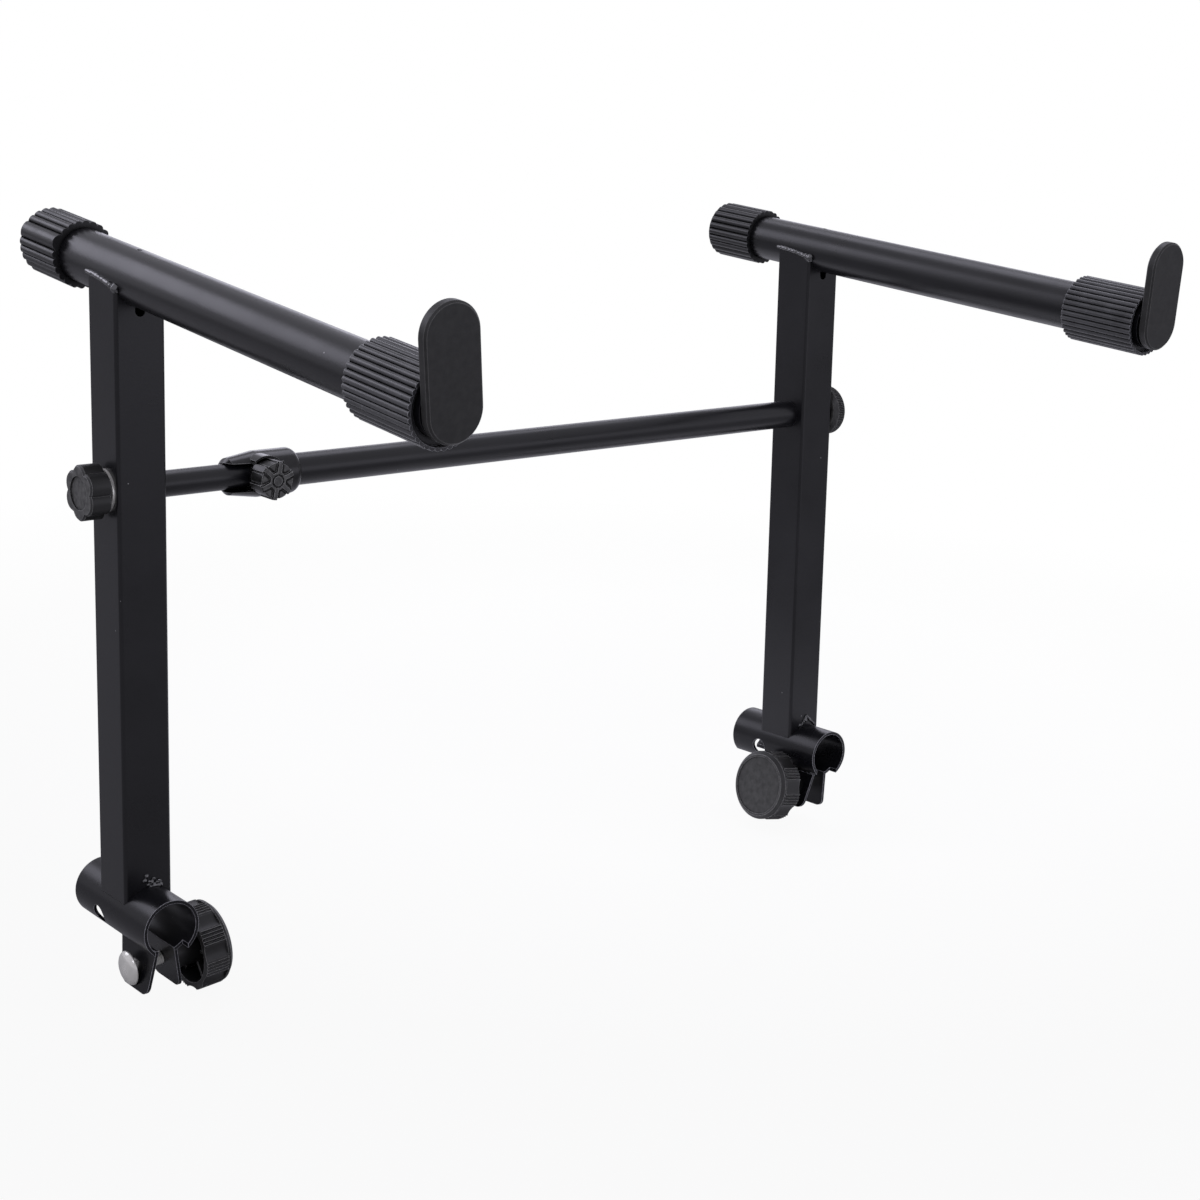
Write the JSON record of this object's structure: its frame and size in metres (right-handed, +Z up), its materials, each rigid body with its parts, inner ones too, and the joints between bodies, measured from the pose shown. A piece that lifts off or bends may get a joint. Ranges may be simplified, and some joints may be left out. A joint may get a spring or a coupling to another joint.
{
  "type": "keyboard stand",
  "caption": "Clamp-on second tier for a keyboard stand: square uprights with sloping padded arms, end stops, split tube clamps and a telescopic crossbar.",
  "frame": {"origin": "centre of the left clamp's bore, under the left upright", "axes": "+X along the crossbar from the left frame to the right frame, +Y to the back along the clamp bore, +Z up; the end stops are at the front, on the -Y side"},
  "size_m": [0.5984, 0.3885, 0.4506],
  "materials": {
    "powder_coat": "satin black powder coat",
    "black_rubber": "matt moulded rubber",
    "black_plastic": "fine textured moulding",
    "chrome_plate": "bright plated",
    "zinc_steel": "zinc plated",
    "brass_insert": "turned"
  },
  "bodies": {
    "left_frame": {"left_upright": "powder_coat", "left_arm_tube": "powder_coat", "left_clamp_tube": "powder_coat", "left_grip_sleeve": "black_rubber", "left_rear_cap": "black_rubber", "left_end_stop": "black_plastic", "left_clamp_bolt": "chrome_plate"},
    "right_frame": {"right_upright": "powder_coat", "right_arm_tube": "powder_coat", "right_clamp_tube": "powder_coat", "right_grip_sleeve": "black_rubber", "right_rear_cap": "black_rubber", "right_end_stop": "black_plastic", "right_clamp_bolt": "chrome_plate"},
    "inner_bar": {"inner_bar": "powder_coat", "inner_bar_plug": "zinc_steel"},
    "outer_bar": {"outer_bar": "powder_coat", "outer_bar_plug": "zinc_steel", "telescope_collar": "black_plastic", "telescope_nut": "brass_insert"},
    "telescope_knob": {"telescope_knob": "black_plastic", "telescope_screw": "zinc_steel"},
    "left_clamp_washer": {"left_clamp_washer": "chrome_plate"},
    "left_clamp_knob": {"left_clamp_knob": "black_plastic", "left_clamp_knob_nut": "brass_insert"},
    "left_bar_washer": {"left_bar_washer": "chrome_plate"},
    "left_bar_knob": {"left_bar_knob": "black_plastic", "left_bar_stud": "zinc_steel"},
    "right_clamp_washer": {"right_clamp_washer": "chrome_plate"},
    "right_clamp_knob": {"right_clamp_knob": "black_plastic", "right_clamp_knob_nut": "brass_insert"},
    "right_bar_washer": {"right_bar_washer": "chrome_plate"},
    "right_bar_knob": {"right_bar_knob": "black_plastic", "right_bar_stud": "zinc_steel"}
  },
  "joints": [
    {"name": "crossbar_swing", "type": "hinge", "parent": "left_frame", "child": "inner_bar", "pos_m": [0.015, 0, 0.249], "axis": [1, 0, 0], "continuous": true},
    {"name": "telescope_slide", "type": "slide", "parent": "inner_bar", "child": "outer_bar", "axis": [1, 0, 0], "range_m": [-0.04, 0.24]},
    {"name": "right_frame_swing", "type": "hinge", "parent": "outer_bar", "child": "right_frame", "pos_m": [0.525, 0, 0.249], "axis": [1, 0, 0], "continuous": true},
    {"name": "telescope_knob_turn", "type": "hinge", "parent": "outer_bar", "child": "telescope_knob", "pos_m": [0.0805, -0.0119, 0.249], "axis": [0, -1, 0], "range_deg": [0, 720]},
    {"name": "left_clamp_back_off", "type": "slide", "parent": "left_frame", "child": "left_clamp_washer", "axis": [0.9976, 0, 0.0698], "range_m": [0, 0.0051]},
    {"name": "left_clamp_knob_turn", "type": "hinge", "parent": "left_clamp_washer", "child": "left_clamp_knob", "pos_m": [0, -0.014, -0.0295], "axis": [0.9976, 0, 0.0698], "range_deg": [0, 1440]},
    {"name": "right_clamp_back_off", "type": "slide", "parent": "right_frame", "child": "right_clamp_washer", "axis": [-0.9799, 0.0073, 0.1992], "range_m": [0, 0.0051]},
    {"name": "right_clamp_knob_turn", "type": "hinge", "parent": "right_clamp_washer", "child": "right_clamp_knob", "pos_m": [0.53615, -0.02419, -0.02855], "axis": [-0.9799, 0.0073, 0.1992], "range_deg": [0, 1440]},
    {"name": "left_bar_back_off", "type": "slide", "parent": "inner_bar", "child": "left_bar_washer", "axis": [-1, 0, 0], "range_m": [0, 0.0051]},
    {"name": "left_bar_knob_turn", "type": "hinge", "parent": "left_bar_washer", "child": "left_bar_knob", "pos_m": [-0.015, 0, 0.249], "axis": [-1, 0, 0], "range_deg": [0, 1440]},
    {"name": "right_bar_back_off", "type": "slide", "parent": "outer_bar", "child": "right_bar_washer", "axis": [1, 0, 0], "range_m": [0, 0.0051]},
    {"name": "right_bar_knob_turn", "type": "hinge", "parent": "right_bar_washer", "child": "right_bar_knob", "pos_m": [0.555, 0, 0.249], "axis": [1, 0, 0], "range_deg": [0, 1440]}
  ],
  "couplings": [
    {"joint": "left_clamp_back_off", "follows": "left_clamp_knob_turn", "m_per_rad": 0.00019894},
    {"joint": "right_clamp_back_off", "follows": "right_clamp_knob_turn", "m_per_rad": 0.00019894},
    {"joint": "left_bar_back_off", "follows": "left_bar_knob_turn", "m_per_rad": 0.00019894},
    {"joint": "right_bar_back_off", "follows": "right_bar_knob_turn", "m_per_rad": 0.00019894}
  ]
}
